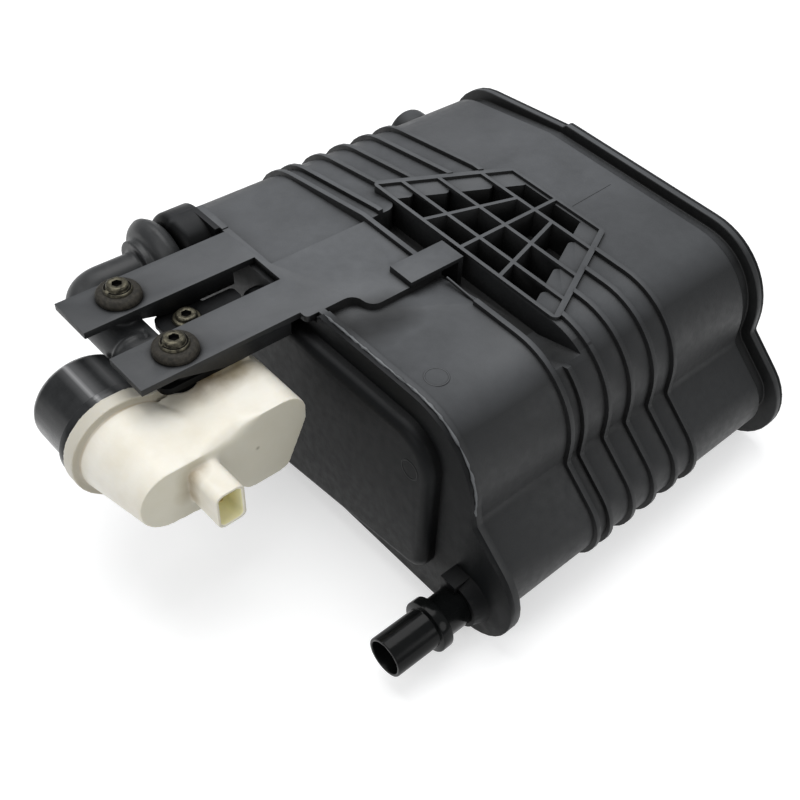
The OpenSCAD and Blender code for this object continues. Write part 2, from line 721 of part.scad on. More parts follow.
// The filter cup, open towards the valve, with the socket that takes the elbow's end
// and a channel for the elbow's run
cup_rim_d = cup_d + 4;
cup_rim_l = 5;
cup_round = 4;
inlet_d = hose_d + 2 * fit + 4;
channel_d = seam_d + 2 * fit;
inlet_turn = atan2(hose_axis_z - valve_axis_z, hose_x - valve_x);
inlet_reach = norm([hose_axis_z - valve_axis_z, hose_x - valve_x]);
inlet_web = inlet_d / 1.5;
module on_valve_axis(y) translate([valve_x, y, valve_axis_z]) rotate([-90, 0, 0]) children();
module along_web(y, l, h) translate([valve_x, y, valve_axis_z]) rotate([0, -inlet_turn, 0])
    translate([0, 0, -h / 2]) cube([inlet_reach, l, h]);
module filter_cup() color("#121314") home() difference() {
    union() {
        difference() {
            on_valve_axis(joint_y) rotate_extrude() polygon(concat(
                [[0, 0], [cup_rim_d / 2, 0], [cup_rim_d / 2, cup_rim_l - 1], [cup_rim_d / 2 - 1, cup_rim_l],
                 [cup_d / 2, cup_rim_l]],
                arc([cup_d / 2 - cup_round, cup_l - cup_round], cup_round, 0, 90, 6), [[0, cup_l]]));
            difference() {
                on_valve_axis(joint_y - 1) cylinder(d = cup_d - 2 * cup_wall, h = cup_l - cup_wall + 1);
                along_inlet(inlet_front_y, inlet_back_y, inlet_d);
                along_inlet(inlet_back_y - cup_wall, cup_back_y + 1, channel_d + 2 * cup_wall);
            }
        }
        along_inlet(inlet_front_y, inlet_back_y, inlet_d);
        difference() {
            along_web(inlet_front_y, inlet_back_y - inlet_front_y - cup_wall, inlet_web);
            on_valve_axis(joint_y) cylinder(d = cup_d - 2 * cup_wall, h = cup_l);
        }
    }
    along_inlet(inlet_back_y, cup_back_y + 1, channel_d);
    along_inlet(inlet_back_y - inlet_depth, inlet_back_y + 1, hose_d + 2 * fit);
    along_inlet(inlet_front_y + cup_wall, inlet_back_y, hose_d - 2 * hose_wall);
    along_web(inlet_front_y + cup_wall, inlet_back_y - inlet_front_y - inlet_depth - cup_wall - 0.5,
        inlet_web - 2 * cup_wall);
}

foam_in = 6;
module filter_foam() color("#6d6a52") home() difference() {
    on_valve_axis(joint_y + foam_in)
        cylinder(d = cup_d - 2 * cup_wall - 2 * fit, h = cup_l - cup_wall - foam_in);
    along_inlet(inlet_front_y - fit, inlet_back_y + fit, inlet_d + 2 * fit);
    along_inlet(inlet_back_y - cup_wall - fit, cup_back_y, channel_d + 2 * cup_wall + 2 * fit);
}

ring_d = 2.4;
ring_mean_d = (cup_rim_d + cup_d - 2 * cup_wall) / 2;
module seal_ring() color("#1a1a1a") home() on_valve_axis(joint_y - ring_d / 2)
    rotate_extrude() translate([ring_mean_d / 2, 0]) circle(d = ring_d, $fn = 24);

// The valve's body: round at the cup, narrowing to its front face, with a box beside it and the plug socket;
// box_foot, socket_z and tab_top are heights from the valve's axis
flange_l = 6;
barrel_d = 41;
nose = [-2.5, 2.5];
nose_r = 13.7;
box_left = grommet_x + 1;
box_right = grommet_x + 32;
box_top = deck_z - arm_depth - 4;
box_foot = -16.5;
box_back = 2;
box_r = 5;
box_end_r = 10;
socket_x = grommet_x - 14.8;
socket_z = 2.8;
socket_depth = 13;
near_lug_l = 24;
low_x = grommet_x + 18;
low_y = 27.4;
low_lug_w = 17;
low_lug_t = 7;
lug_top = hose_axis_z;
lug_right = grommet_x + 6.5;
low_screw_in = 6;
tab = [10, 5.5, 12];
tab_x = grommet_x - 15;
tab_top = 20;
near_screw_in = 14;
module upright(y, l) translate([0, y + l, 0]) rotate([90, 0, 0]) linear_extrude(l) children();
module box_2d() hull() {
    translate([box_left + box_r, box_top - box_r]) circle(box_r, $fn = 32);
    translate([box_right - box_end_r, box_top - box_end_r]) circle(box_end_r, $fn = 48);
    translate([box_right - box_r, valve_axis_z + 7]) circle(box_r, $fn = 32);
    translate([box_right - 2.6 * box_r, valve_axis_z + box_foot + box_r]) circle(box_r, $fn = 32);
    translate([box_left + box_r, valve_axis_z + box_foot + box_r]) circle(box_r, $fn = 32);
}
// Web that fills the corner between the round barrel and the box
web_r = 12;
web_in = 3;
module web_2d() hull() {
    translate([valve_x + web_r / 2, valve_axis_z + 4]) circle(web_r);
    translate([box_left + box_end_r, box_top - 1.5 * box_r]) circle(1.5 * box_r);
}
module socket_2d(m)
    translate([socket_x, valve_axis_z + socket_z])
        soft_rect([m - socket_w / 2, m - socket_h / 2], [socket_w / 2 - m, socket_h / 2 - m], socket_r - m);
blade = [2.8, 0.8];
blade_gap = 8;
module blades(y, l, m)
    for (side = [-1, 1]) translate([socket_x, y + l / 2, valve_axis_z + socket_z + side * blade_gap / 2])
        cube([blade[0] + 2 * m, l, blade[1] + 2 * m], center = true);
module valve_body() color("#ece9df") home() difference() {
    union() {
        on_valve_axis(joint_y - flange_l) cylinder(d = valve_flange_d, h = flange_l);
        hull() {
            on_valve_axis(joint_y - flange_l) cylinder(d = barrel_d, h = 0.5);
            upright(face_y, 0.5) {
                translate([valve_x + nose[0], valve_axis_z + nose[1]]) circle(nose_r);
                translate([box_left - 4, valve_axis_z + box_foot + 3])
                    square([8, nose[1] + nose_r - box_foot - 3]);
            }
        }
        upright(face_y, box_back - face_y) box_2d();
        upright(face_y + web_in, box_back - face_y - web_in) web_2d();
        translate([tab_x, joint_y - flange_l, valve_axis_z + tab_top - tab[2]]) cube(tab);
        upright(face_y - socket_l, socket_l + 2) socket_2d(0);
        translate([lug_right - screw_boss_d, near_arm_y - screw_boss_d / 2 - 0.5, lug_top - near_lug_l])
            cube([screw_boss_d, joint_y - fit - near_arm_y + screw_boss_d / 2 + 0.5, near_lug_l]);
        translate([low_x - low_lug_w / 2, box_back - 4, bracket_top - bracket_t - low_lug_t])
            cube([low_lug_w, low_y + low_lug_w / 2 - box_back + 4, low_lug_t]);
    }
    on_valve_axis(joint_y - valve_bore_l) cylinder(d = valve_bore, h = valve_bore_l + 1);
    on_valve_axis(joint_y - ring_d) difference() {
        cylinder(d = ring_mean_d + ring_d, h = ring_d + 1);
        translate([0, 0, -1]) cylinder(d = ring_mean_d - ring_d, h = ring_d + 3);
    }
    upright(face_y - socket_l - 1, socket_depth + 1) socket_2d(socket_wall);
    translate([grommet_x, near_arm_y, lug_top]) cylinder(d = screw_boss_d + 2 * fit, h = deck_z);
    blades(face_y - socket_l + socket_depth - 1, blade_in + 1, 0.05);
    translate([grommet_x, near_arm_y, lug_top - near_screw_in - 1])
        cylinder(d = pilot_d, h = near_screw_in + 2);
    translate([low_x, low_y, bracket_top - bracket_t - low_screw_in])
        cylinder(d = pilot_d, h = low_screw_in + 1);
}
blade_in = 6;
blade_out = 5;
module terminal(side) intersection() {
    blades(face_y - socket_l + socket_depth - blade_out, blade_out + blade_in, 0);
    translate([socket_x - 5, face_y - socket_l, valve_axis_z + socket_z + (side < 0 ? -9 : 0)])
        cube([10, 40, 9]);
}
module plug_terminal_upper() color("#c3a35a") home() terminal(1);
module plug_terminal_lower() color("#c3a35a") home() terminal(-1);

// The solenoid in the valve's bore
bore_floor = joint_y - valve_bore_l;
bobbin_l = 19;
bobbin_t = 1.5;
bobbin_wall = 1.2;
bobbin_d = valve_bore - 2 * fit;
hub_d = plunger_d + 2 * fit + 2 * bobbin_wall;
core_l = 9;
return_l = 4.5;
plunger_l = 8.3;
disc_t = 2;
disc_d = 16;
neck_d = 4;
module coil_bobbin() color("#3a3d42") home() on_valve_axis(bore_floor) difference() {
    union() {
        for (z = [0, bobbin_l - bobbin_t]) translate([0, 0, z]) cylinder(d = bobbin_d, h = bobbin_t);
        cylinder(d = hub_d, h = bobbin_l);
    }
    translate([0, 0, -1]) cylinder(d = plunger_d + 2 * fit, h = bobbin_l + 2);
}
module coil_winding() color("#a5622c") home() on_valve_axis(bore_floor + bobbin_t) difference() {
    cylinder(d = bobbin_d - 1.4, h = bobbin_l - 2 * bobbin_t);
    translate([0, 0, -1]) cylinder(d = hub_d, h = bobbin_l);
}
module fixed_core() color("#8d9094") home() on_valve_axis(bore_floor) cylinder(d = plunger_d, h = core_l);
module return_spring() color("#b4b6b8") home() on_valve_axis(bore_floor + core_l)
    helix(plunger_d - 2, 0.8, return_l, 2.5);
module plunger() color("#8d9094") home() on_valve_axis(bore_floor + core_l + return_l) {
    cylinder(d = plunger_d, h = plunger_l);
    cylinder(d = neck_d, h = plunger_l + disc_t + 1);
    translate([0, 0, plunger_l + disc_t]) cylinder(d = neck_d + 3, h = 1.2);
}
disc_y = bore_floor + core_l + return_l + plunger_l;
module seal_disc() color("#1d1d1d") home() on_valve_axis(disc_y) difference() {
    cylinder(d = disc_d, h = disc_t);
    translate([0, 0, -1]) cylinder(d = neck_d, h = disc_t + 2);
}

// The bracket below the arms that holds the valve's body to the near grommet and to the low screw
bracket_front_x = grommet_x - 11;
bracket_end_x = grommet_x + 29;
bracket_side_x = grommet_x + 7;
bracket_tip_x = -(cap_t + panel_out + 2.5);
module carrier_bracket() color("#1f2021") home() difference() {
    union() {
        translate([0, 0, bracket_top - bracket_t]) linear_extrude(bracket_t) {
            soft_rect([bracket_front_x, near_arm_y - 7.5], [bracket_end_x, inlet_front_y - 0.5], 4);
            soft_rect([bracket_side_x, near_arm_y], [bracket_end_x, low_y + low_lug_w / 2], 4);
            soft_rect([low_x, low_y - 2], [bracket_tip_x, low_y + 5.5], 2);
        }
        translate([grommet_x, near_arm_y, lug_top]) cylinder(d = screw_boss_d, h = seat_z - lug_top);
    }
    translate([grommet_x, near_arm_y, lug_top - 1])
        cylinder(d = screw_d + 2 * fit, h = seat_z - lug_top + 2);
    translate([low_x, low_y, bracket_top - 2 * bracket_t])
        cylinder(d = screw_d + 2 * fit, h = 3 * bracket_t);
}

// Rubber grommets in the arms, each with a steel sleeve that the screw clamps
sleeve_d = 8;
sleeve_bore = screw_d + 2 * fit;
grommet_top = deck_z + grommet_h;
low_flange_d = 15;
dome_r = 2.4;
module grommet(y) translate([grommet_x, y, 0]) rotate_extrude() polygon(concat(
    [[sleeve_d / 2, seat_z], [low_flange_d / 2, seat_z], [low_flange_d / 2, deck_z - arm_t],
     [grommet_hole_d / 2, deck_z - arm_t], [grommet_hole_d / 2, deck_z], [grommet_d / 2, deck_z]],
    arc([grommet_d / 2 - dome_r, grommet_top - dome_r], dome_r, 0, 90, 6),
    [[sleeve_d / 2, grommet_top]]
));
module grommet_near() color("#3c3832") home() grommet(near_arm_y);
module grommet_far() color("#3c3832") home() grommet(far_arm_y);
module sleeve(y) translate([grommet_x, y, seat_z]) difference() {
    cylinder(d = sleeve_d, h = grommet_top - seat_z);
    translate([0, 0, -1]) cylinder(d = sleeve_bore, h = grommet_top - seat_z + 2);
}
module sleeve_near() color("#8b8a82") home() sleeve(near_arm_y);
module sleeve_far() color("#8b8a82") home() sleeve(far_arm_y);

// A flanged screw with a socket in its head; seat is the face below its flange
screw_flange_t = 1.2;
head_h = 1.9;
module screw(x, y, seat, l) translate([x, y, seat]) difference() {
    union() {
        cylinder(d1 = screw_flange_d, d2 = screw_flange_d - 0.8, h = screw_flange_t);
        cylinder(d = screw_head_d, h = screw_flange_t + head_h - 0.5);
        translate([0, 0, screw_flange_t + head_h - 0.5])
            cylinder(d1 = screw_head_d, d2 = screw_head_d - 1, h = 0.5);
        translate([0, 0, -l]) cylinder(d = screw_d, h = l + 0.5);
    }
    translate([0, 0, screw_flange_t]) cylinder(d = screw_head_d / 2, h = head_h + 1, $fn = 6);
}
module screw_near() color("#4a463c") home()
    screw(grommet_x, near_arm_y, grommet_top, grommet_top - lug_top + near_screw_in);
module screw_far() color("#4a463c") home()
    screw(grommet_x, far_arm_y, grommet_top, grommet_top - seat_z + far_screw_in - 0.5);
module screw_low() color("#4a463c") home() screw(low_x, low_y, bracket_top, bracket_t + low_screw_in - 0.5);

canister_shell();
end_cap();
purge_spigot();
rear_lid();
carbon_near();
carbon_far();
fleece_near_front();
fleece_far_front();
fleece_near_rear();
fleece_far_rear();
pressure_plate_near();
pressure_plate_far();
spring_near();
spring_middle();
spring_far();
vent_elbow();
filter_cup();
filter_foam();
seal_ring();
valve_body();
coil_bobbin();
coil_winding();
fixed_core();
plunger();
return_spring();
seal_disc();
plug_terminal_upper();
plug_terminal_lower();
carrier_bracket();
grommet_near();
grommet_far();
sleeve_near();
sleeve_far();
screw_near();
screw_far();
screw_low();
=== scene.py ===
import math

import bpy
from mathutils import Matrix, Vector


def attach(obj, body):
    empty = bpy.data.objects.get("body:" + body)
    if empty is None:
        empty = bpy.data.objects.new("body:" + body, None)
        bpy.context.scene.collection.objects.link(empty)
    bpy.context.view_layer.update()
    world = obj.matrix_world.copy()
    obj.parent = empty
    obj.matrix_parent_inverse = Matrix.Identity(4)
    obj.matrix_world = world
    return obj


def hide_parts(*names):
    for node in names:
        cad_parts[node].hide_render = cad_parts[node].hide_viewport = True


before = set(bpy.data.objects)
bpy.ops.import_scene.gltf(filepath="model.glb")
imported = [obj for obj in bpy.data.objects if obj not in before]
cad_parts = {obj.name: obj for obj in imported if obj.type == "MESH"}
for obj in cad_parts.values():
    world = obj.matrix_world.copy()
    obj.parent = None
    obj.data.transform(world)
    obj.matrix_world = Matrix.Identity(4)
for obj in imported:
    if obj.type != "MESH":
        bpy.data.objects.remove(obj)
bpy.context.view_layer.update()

bpy.ops.object.select_all(action="DESELECT")
scene = bpy.context.scene
scene.view_settings.view_transform = "Standard"

# The camera stands in front of the end cap, high on the valve's side, and is rolled a little.
# Its place, lens and shift were solved from the photograph's straight lines, in this part's frame.
photo_px = 800
focal_px = 1092.9
camera_data = bpy.data.cameras.new("photo_camera")
camera_data.sensor_width = 36
camera_data.lens = focal_px / photo_px * camera_data.sensor_width
camera_data.shift_x = -0.168
camera_data.shift_y = 0.0266
camera_data.clip_start = 0.01
camera = bpy.data.objects.new("photo_camera", camera_data)
scene.collection.objects.link(camera)
to_right = Vector((0.69626, -0.7071, 0.12344))
to_top = Vector((0.45797, 0.57004, 0.68214))
to_back = Vector((-0.55271, -0.41841, 0.72072))
camera.matrix_world = Matrix((to_right, to_top, to_back)).transposed().to_4x4()
camera.location = (-0.24265, -0.2654, 0.3965)
scene.camera = camera


# The shell is one injection moulding of black glass-filled nylon: box, ribs, arms and rail pocket together.
# Its look is the solid itself with its triangles merged and its sharp edges rounded, as a mould leaves them.
# The rear weld flange is rounded wider than the rest.
def rounded_look(node, edge, name, planes=(), wide=0.0):
    """A copy of a solid with rounded edges: edge in metres, and wide on the edges in the X planes given."""
    same_point, same_plane = 2e-6, 2e-5
    flat, sharp = math.radians(0.4), math.radians(32)
    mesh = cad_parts[node].data.copy()
    look = bpy.data.objects.new(name, mesh)
    scene.collection.objects.link(look)
    bpy.ops.object.select_all(action="DESELECT")
    bpy.context.view_layer.objects.active = look
    look.select_set(True)
    bpy.ops.object.mode_set(mode="EDIT")
    bpy.ops.mesh.select_all(action="SELECT")
    bpy.ops.mesh.remove_doubles(threshold=same_point)
    bpy.ops.mesh.dissolve_limited(angle_limit=flat)
    bpy.ops.object.mode_set(mode="OBJECT")
    if planes:
        weights = mesh.attributes.new("bevel_weight_edge", "FLOAT", "EDGE")
        for line in mesh.edges:
            ends = [mesh.vertices[i].co.x for i in line.vertices]
            if any(max(abs(e - x) for e in ends) < same_plane for x in planes):
                weights.data[line.index].value = 1.0
        blend = look.modifiers.new("wide_rounding", "BEVEL")
        blend.width = wide
        blend.segments = 4
        blend.limit_method = "WEIGHT"
        bpy.ops.object.modifier_apply(modifier=blend.name)
    rounding = look.modifiers.new("rounded_edges", "BEVEL")
    rounding.width = edge
    rounding.segments = 2
    rounding.limit_method = "ANGLE"
    rounding.angle_limit = sharp
    bpy.ops.object.modifier_apply(modifier=rounding.name)
    bpy.ops.object.shade_smooth_by_angle(angle=sharp)
    look.select_set(False)
    return look


def linear(hex_code):
    """A colour written as sRGB hex, as linear red, green, blue and alpha."""
    parts = [int(hex_code[i:i + 2], 16) / 255 for i in (1, 3, 5)]
    return tuple(p / 12.92 if p <= 0.04045 else ((p + 0.055) / 1.055) ** 2.4 for p in parts) + (1.0,)


def add(tree, kind, inputs=None, **settings):
    """Adds a node, sets it up and links or fills its inputs."""
    node = tree.nodes.new(kind)
    for key, value in settings.items():
        setattr(node, key, value)
    for key, value in (inputs or {}).items():
        if isinstance(value, bpy.types.NodeSocket):
            tree.links.new(value, node.inputs[key])
        else:
            node.inputs[key].default_value = value
    return node


def blank_material(name):
    """A new material with nothing but its output and one Principled shader."""
    material = bpy.data.materials.new(name)
    material.use_nodes = True
    tree = material.node_tree
    tree.nodes.clear()
    shader = add(tree, "ShaderNodeBsdfPrincipled")
    add(tree, "ShaderNodeOutputMaterial", {"Surface": shader.outputs["BSDF"]})
    return material, tree, shader


def inside_box(tree, axis, low, high):
    """A value that is 1 between two corners, in metres, and 0 outside."""
    inside = 1.0
    for side, least, most in zip("XYZ", low, high):
        for sense, limit in (("GREATER_THAN", least), ("LESS_THAN", most)):
            test = add(tree, "ShaderNodeMath", {0: axis.outputs[side], 1: limit}, operation=sense)
            inside = add(tree, "ShaderNodeMath", {0: inside, 1: test.outputs["Value"]},
                         operation="MULTIPLY").outputs["Value"]
    return inside


deck_z = 0.104
nylon_ior = 1.53


def moulded_nylon(name, tone, dust_tone, dust, rough, grain, shine):
    """Glass-filled nylon as moulded: a satin, slightly mottled skin that holds pale dust where it faces up,
    with painted shade in its corners and hollows.
    """
    material, tree, shader = blank_material(name)
    place = add(tree, "ShaderNodeTexCoord").outputs["Object"]
    axis = add(tree, "ShaderNodeSeparateXYZ", {"Vector": place})
    # 22 mm clouds of handling and dust, and 4 mm mottling of the moulded skin
    clouds = add(tree, "ShaderNodeTexNoise", {"Vector": place, "Scale": 45, "Detail": 5, "Roughness": 0.6})
    mottle = add(tree, "ShaderNodeTexNoise", {"Vector": place, "Scale": 250, "Detail": 3, "Roughness": 0.5})
    # spark-eroded grain is about 0.1 mm; it is drawn at 0.9 mm, because finer grain doesn't show at this size
    pebble = add(tree, "ShaderNodeTexNoise", {"Vector": place, "Scale": 1100, "Detail": 2, "Roughness": 0.5})
    # pale dust lies on what faces up, and each of the shares below takes some of the pale colour away; some of
    # them paint shade
    normal = add(tree, "ShaderNodeNewGeometry").outputs["Normal"]
    up = add(tree, "ShaderNodeSeparateXYZ", {"Vector": normal})
    facing = add(tree, "ShaderNodeMapRange", {"Value": up.outputs["Z"], "From Min": 0.78, "From Max": 1.0})
    shares = []
    # the pale colour is weaker towards the rear lid, the arms' tips, the near side and the foot
    for side, bare_end, dusty_end, least in (("X", 0.13, 0.0, 0.84), ("X", -0.12, -0.03, 0.42),
                                             ("Y", -0.04, 0.0, 0.68), ("Z", 0.06, 0.1, 0.2)):
        thinning = add(tree, "ShaderNodeMapRange", {"Value": axis.outputs[side], "From Min": bare_end,
                                                    "From Max": dusty_end, "To Min": least, "To Max": 1.0})
        shares.append(thinning.outputs["Result"])
    # it is uneven, as the skin below it is
    for pattern, least in ((clouds, 0.75), (mottle, 0.88)):
        patches = add(tree, "ShaderNodeMapRange", {"Value": pattern.outputs["Fac"], "From Min": 0.3,
                                                   "From Max": 0.7, "To Min": least, "To Max": 1.0})
        shares.append(patches.outputs["Result"])
    # painted shade: the pale colour is taken away along the gap of the snap tongue and on the trough's
    # run-out, so that these read dark
    for spot, reach, least in (
        ((-0.032, -0.0155, deck_z), 0.017, 0.2), ((-0.043, -0.011, deck_z), 0.013, 0.2),
        ((-0.019, -0.0165, deck_z), 0.014, 0.3), ((0.0215, -0.0735, 0.098), 0.013, 0.0),
        ((0.0225, -0.0635, 0.099), 0.009, 0.0),
    ):
        away = add(tree, "ShaderNodeVectorMath", {0: place, 1: spot}, operation="DISTANCE")
        painted_shade_spot = add(tree, "ShaderNodeMapRange", {"Value": away.outputs["Value"], "From Min": reach / 3,
                                                 "From Max": reach, "To Min": least, "To Max": 1.0})
        shares.append(painted_shade_spot.outputs["Result"])
    # painted shade: the floor of the rail pocket and of its trough gets none of the pale colour, so that it
    # reads dark
    for low, high in (((0.0125, -0.052, 0.0), (0.089, 0.045, 0.1012)),
                      ((0.0125, -0.078, 0.0988), (0.034, -0.051, 0.1012))):
        painted_pocket_shade = inside_box(tree, axis, low, high)
        clear = add(tree, "ShaderNodeMath", {0: 1.0, 1: painted_pocket_shade}, operation="SUBTRACT")
        shares.append(clear.outputs["Value"])
    amount = facing.outputs["Result"]
    for share in (*shares, dust):
        amount = add(tree, "ShaderNodeMath", {0: amount, 1: share}, operation="MULTIPLY").outputs["Value"]
    colour = add(tree, "ShaderNodeMix", {"Factor": amount, "A": linear(tone), "B": linear(dust_tone)},
                 data_type="RGBA")
    # a small dark brown spot sits in the corner below the snap tongue's hook
    away = add(tree, "ShaderNodeVectorMath", {0: place, 1: (-0.0025, -0.0079, 0.1045)}, operation="DISTANCE")
    dark_hook_spot = add(tree, "ShaderNodeMapRange", {"Value": away.outputs["Value"], "From Min": 0.0026,
                                            "From Max": 0.0008})
    colour = add(tree, "ShaderNodeMix", {"Factor": dark_hook_spot.outputs["Result"], "A": colour.outputs["Result"],
                                         "B": linear("#33241a")}, data_type="RGBA")
    # painted shade: corners and grooves are darkened towards near black within about 14 mm of the corner,
    # where shade falls
    shade_occlusion = add(tree, "ShaderNodeAmbientOcclusion", {"Distance": 0.014}, samples=8)
    painted_crease_shade = add(tree, "ShaderNodeMapRange", {"Value": shade_occlusion.outputs["AO"], "From Min": 0.92,
                                              "From Max": 0.5, "To Min": 0.0, "To Max": 0.95})
    colour = add(tree, "ShaderNodeMix", {"Factor": painted_crease_shade.outputs["Result"], "A": colour.outputs["Result"],
                                         "B": linear("#080808")}, data_type="RGBA")
    tree.links.new(colour.outputs["Result"], shader.inputs["Base Color"])
    gloss = add(tree, "ShaderNodeMapRange", {"Value": mottle.outputs["Fac"], "From Min": 0.3, "From Max": 0.7,
                                             "To Min": rough - 0.05, "To Max": rough + 0.06})
    tree.links.new(gloss.outputs["Result"], shader.inputs["Roughness"])
    relief = add(tree, "ShaderNodeBump", {"Height": pebble.outputs["Fac"], "Strength": grain,
                                          "Distance": 0.0002})
    tree.links.new(relief.outputs["Normal"], shader.inputs["Normal"])
    shader.inputs["IOR"].default_value = nylon_ior
    shader.inputs["Specular IOR Level"].default_value = shine
    return material


def dress(piece, body, slot, material, *replaced):
    """Gives a piece its material, hangs it on its body's empty and hides the solids that it stands for."""
    piece.data.materials.clear()
    piece.data.materials.append(material)
    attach(piece, body)
    if replaced:
        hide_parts(*replaced)


flange_faces = (0.12875, 0.13675)
shell_nylon = moulded_nylon("satin_nylon_shell", "#1d1e1f", "#65676a",
                            dust=0.9, rough=0.5, grain=0.25, shine=0.3)
shell_look = rounded_look("canister_shell", 0.0004, "shell_moulding", flange_faces, wide=0.0013)
dress(shell_look, "canister", "shell_nylon", shell_nylon, "canister_shell")

# The end cap is a second nylon moulding, welded to the shell's front face with a hot plate.
# It is darker and a little smoother than the shell, and its raised panel has a soft edge.
panel_x = -0.05275
cap_nylon = moulded_nylon("satin_nylon_cap", "#121314", "#505153",
                          dust=0.45, rough=0.42, grain=0.2, shine=0.08)
cap_look = rounded_look("end_cap", 0.0005, "cap_moulding", (panel_x,), wide=0.0045)
dress(cap_look, "canister", "cap_nylon", cap_nylon, "end_cap")


# The hot plate pressed a thin ragged bead of melt out of the seam between shell and cap.
# It is one drawn line along the seam, thickened to a round bead and roughened, and stays where it set.
def drawn_bead(name, line, thickness):
    """A round bead along a line of points: one vertex drawn along it, then thickened."""
    bpy.ops.mesh.primitive_plane_add(size=0.001)
    piece = bpy.context.object
    piece.name = name
    bpy.ops.object.mode_set(mode="EDIT")
    bpy.ops.mesh.select_all(action="SELECT")
    bpy.ops.mesh.merge(type="CENTER")
    bpy.ops.transform.translate(value=line[0])
    for before, after in zip(line, line[1:]):
        bpy.ops.mesh.extrude_region_move(TRANSFORM_OT_translate={"value": after - before})
    bpy.ops.object.mode_set(mode="OBJECT")
    bpy.ops.object.convert(target="CURVE")
    piece.data.bevel_depth = thickness
    piece.data.bevel_resolution = 2
    bpy.ops.object.convert(target="MESH")
    return piece


# across the deck, round the near corner and a little way down the near side
seam_x, seam_start_y = -0.04325, -0.0035
corner_y, corner_z, corner_r = -0.0585, 0.069, 0.0359
deck_steps, corner_steps, side_steps = 40, 30, 8
side_out, side_down = 0.0001, 0.0012
deck_step_y = (corner_y - seam_start_y) / deck_steps
seam_line = [Vector((seam_x, seam_start_y + deck_step_y * i, corner_z + corner_r))
             for i in range(deck_steps + 1)]
seam_line += [Vector((seam_x, corner_y - corner_r * math.sin(t), corner_z + corner_r * math.cos(t)))
              for t in (math.pi / 2 * i / corner_steps for i in range(1, corner_steps + 1))]
seam_line += [Vector((seam_x, corner_y - corner_r - side_out * i, corner_z - side_down * i))
              for i in range(1, side_steps + 1)]
bead = drawn_bead("weld_bead", seam_line, thickness=0.00055)
bead_grain = bpy.data.textures.new("bead_grain", "CLOUDS")
bead_grain.noise_scale = 0.0025
ragged_edge = bead.modifiers.new("ragged_edge", "DISPLACE")
ragged_edge.texture = bead_grain
ragged_edge.texture_coords = "LOCAL"
ragged_edge.strength = 0.0015
ragged_edge.mid_level = 0.5
bpy.ops.object.modifier_apply(modifier=ragged_edge.name)
bpy.ops.object.shade_smooth_by_angle(angle=math.radians(50))
bead_nylon = moulded_nylon("melted_nylon", "#56585a", "#8b8d8f", dust=0.9, rough=0.55, grain=0.3, shine=0.4)
dress(bead, "canister", "shell_nylon", bead_nylon)

# The trough's near lip runs on to the snap tongue as a low bead of the shell's nylon.
# It is moulded with the deck and stands half out of it.
low_bead_points = 9
low_bead_smooth = math.radians(60)
lip_start, lip_step = Vector((0.0116, -0.0145, deck_z)), Vector((-0.00012, -0.0024, 0.0))
lip_line = [lip_start + lip_step * i for i in range(low_bead_points)]
trough_lip = drawn_bead("trough_lip", lip_line, thickness=0.0007)
bpy.ops.object.shade_smooth_by_angle(angle=low_bead_smooth)
dress(trough_lip, "canister", "shell_nylon", shell_nylon)

# A faint parting line of the mould crosses the deck between the lattice and the rear flange.
# It is a hair-thin bead of the shell's nylon, half sunk into the deck.
parting_start, parting_step = Vector((0.0925, -0.0112, deck_z)), Vector((0.0035, 0.00015, 0.0))
parting_points = [parting_start + parting_step * i for i in range(low_bead_points)]
parting_line = drawn_bead("parting_line", parting_points, thickness=0.00016)
bpy.ops.object.shade_smooth_by_angle(angle=low_bead_smooth)
dress(parting_line, "canister", "shell_nylon", shell_nylon)

# Ejector pins left two faint round marks: one on the deck behind the seam, one on the cap's raised panel.
# Each is a low ring of nylon, flattened into the skin that it stands on.
mark_thickness, mark_flatness = 0.0004, 0.35
for name, centre, radius, turn, host in (
    ("ejector_mark_deck", (-0.0311, -0.0556, deck_z), 0.0048, 0.0, shell_nylon),
    ("ejector_mark_panel", (panel_x, -0.0667, 0.0757), 0.0045, math.pi / 2, cap_nylon),
):
    bpy.ops.mesh.primitive_torus_add(major_radius=radius, minor_radius=mark_thickness,
                                     major_segments=64, minor_segments=10)
    ring = bpy.context.object
    ring.name = name
    bpy.ops.object.mode_set(mode="EDIT")
    bpy.ops.mesh.select_all(action="SELECT")
    bpy.ops.transform.resize(value=(1, 1, mark_flatness))
    bpy.ops.transform.rotate(value=turn, orient_axis="Y", center_override=(0.0, 0.0, 0.0))
    bpy.ops.transform.translate(value=centre)
    bpy.ops.object.mode_set(mode="OBJECT")
    bpy.ops.object.shade_smooth_by_angle(angle=low_bead_smooth)
    dress(ring, "canister", "shell_nylon" if host is shell_nylon else "cap_nylon", host)

# The rear lid closes the shell's other end and holds the springs of the pressure plates.
# It is the same nylon as the cap and is welded in the same way.
lid_faces = (0.14225, 0.14725)
lid_look = rounded_look("rear_lid", 0.0005, "lid_moulding", lid_faces, wide=0.0012)
dress(lid_look, "canister", "cap_nylon", cap_nylon, "rear_lid")


